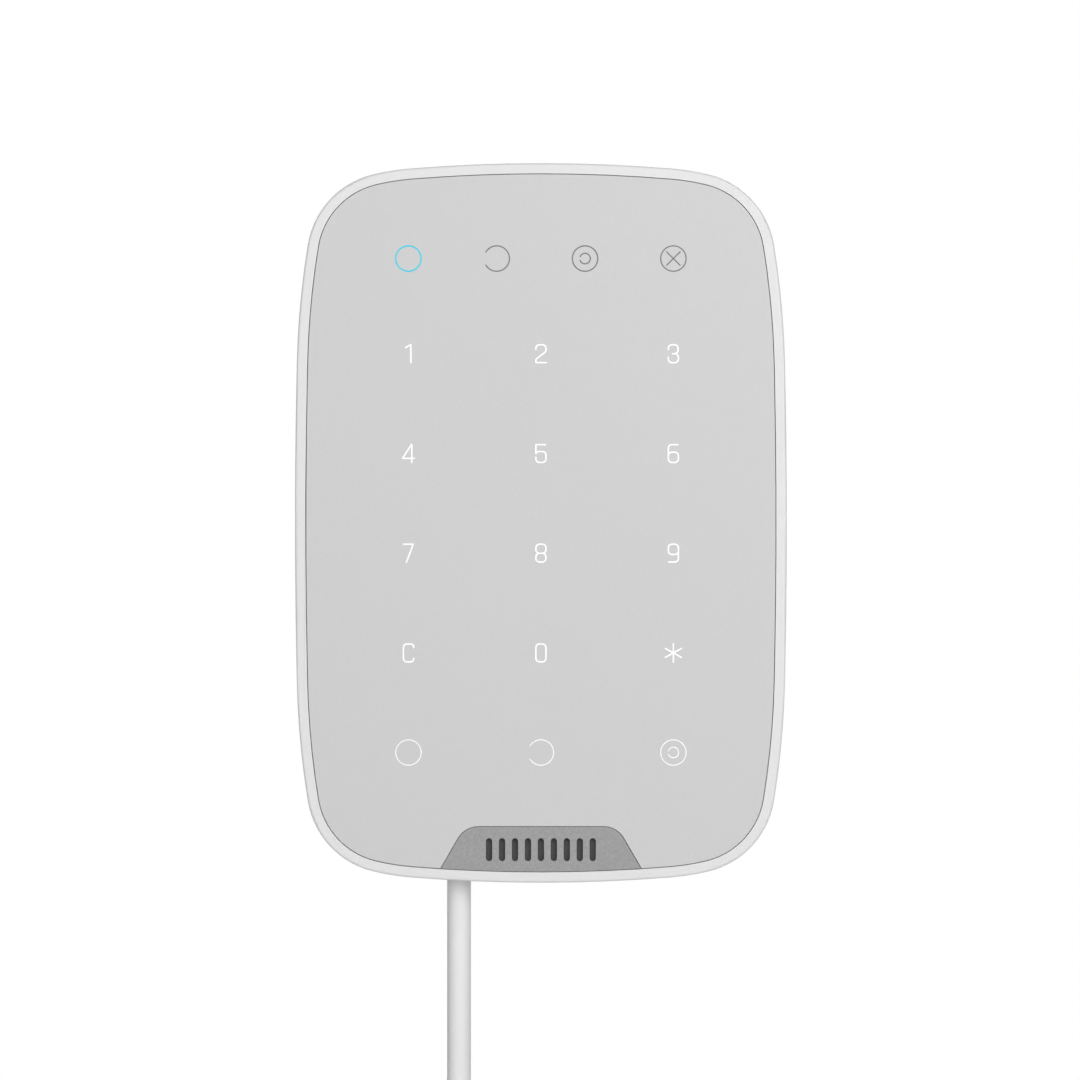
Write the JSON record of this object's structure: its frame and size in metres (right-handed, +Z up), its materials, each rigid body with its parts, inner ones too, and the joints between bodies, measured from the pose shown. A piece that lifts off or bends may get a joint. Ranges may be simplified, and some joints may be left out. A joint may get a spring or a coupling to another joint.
{
  "type": "alarm keypad panel",
  "caption": "Wall-mounted touch keypad of an alarm system, with lit legends, status symbols, sounder slots, a hooked wall bracket and a hanging bus cable.",
  "frame": {"origin": "centre of the wall bracket's four screw holes, on the wall plane", "axes": "+X to the right as seen from the front, +Y into the wall, +Z up; the front of the keypad faces -Y"},
  "size_m": [0.1024, 0.014, 0.3273],
  "materials": {
    "bracket_plastic": "light grey, fine spark texture",
    "case_plastic": "light grey, satin moulded",
    "panel_plastic": "neutral grey, silk surface with a faint speckle",
    "badge_plastic": "dark grey, sandblasted",
    "cover_plastic": "light grey, moulded",
    "black_plastic": "black, moulded",
    "white_plastic": "white acetal",
    "terminal_green": "green, moulded",
    "chip_black": "black epoxy",
    "adhesive": "black foam tape",
    "legend_white": "white translucent inlay",
    "legend_cyan": "lit cyan inlay",
    "legend_grey": "unlit grey inlay",
    "diffuser": "milky light diffuser",
    "board": "green solder mask",
    "led_white": "phosphor in a clear lens",
    "led_cyan": "clear lens",
    "copper": "bright copper",
    "steel": "zinc plated",
    "spring_steel": "drawn spring wire",
    "brass": "turned brass",
    "capacitor_metal": "drawn aluminium can",
    "ferrite": "dark ferrite",
    "mesh_cloth": "black acoustic mesh",
    "tie_nylon": "natural nylon",
    "tie_black": "black hook-and-loop tape",
    "core_red": "red insulation",
    "core_black": "black insulation",
    "core_green": "green insulation",
    "core_yellow": "yellow insulation",
    "label": "blank matt label",
    "cable_jacket": "light grey satin jacket"
  },
  "bodies": {
    "wall_bracket": {"wall_bracket": "bracket_plastic"},
    "locking_screw": {"locking_screw": "steel"},
    "tamper_plunger": {"tamper_plunger": "white_plastic"},
    "keypad": {"front_case": "case_plastic", "face_panel": "panel_plastic", "panel_adhesive": "adhesive", "key_legends": "legend_white", "function_legends": "legend_white", "armed_status_ring": "legend_cyan", "status_symbols": "legend_grey", "badge_plate": "badge_plastic", "sounder_mesh": "mesh_cloth", "light_diffuser": "diffuser", "light_shroud": "black_plastic", "main_board": "board", "key_leds": "led_white", "status_leds": "led_cyan", "touch_electrodes": "copper", "sounder": "black_plastic", "terminal_block": "terminal_green", "terminal_screws": "steel", "tamper_switch": "black_plastic", "tamper_spring": "spring_steel", "processor_chip": "chip_black", "touch_controllers": "chip_black", "capacitors": "capacitor_metal", "inductor": "ferrite", "board_screws": "steel", "rear_cover": "cover_plastic", "cover_screws": "steel", "screw_insert": "brass", "cable_tie": "tie_nylon", "power_core": "core_red", "ground_core": "core_black", "data_a_core": "core_green", "data_b_core": "core_yellow", "id_label": "label", "bus_cable": "cable_jacket", "bus_cable_coil": "cable_jacket", "coil_tie": "tie_black", "bus_cable_tail": "cable_jacket", "tail_cores": "copper"}
  },
  "joints": [
    {"name": "keypad_slide", "type": "slide", "parent": "wall_bracket", "child": "keypad", "axis": [0, 0, 1], "range_m": [0, 0.008]},
    {"name": "tamper_travel", "type": "slide", "parent": "keypad", "child": "tamper_plunger", "axis": [0, 1, 0], "range_m": [0, 0.001]},
    {"name": "locking_screw_travel", "type": "slide", "parent": "wall_bracket", "child": "locking_screw", "axis": [0, 0, -1], "range_m": [0, 0.006]}
  ],
  "couplings": [
    {"joint": "tamper_travel", "follows": "keypad_slide", "ratio": 0.125}
  ]
}
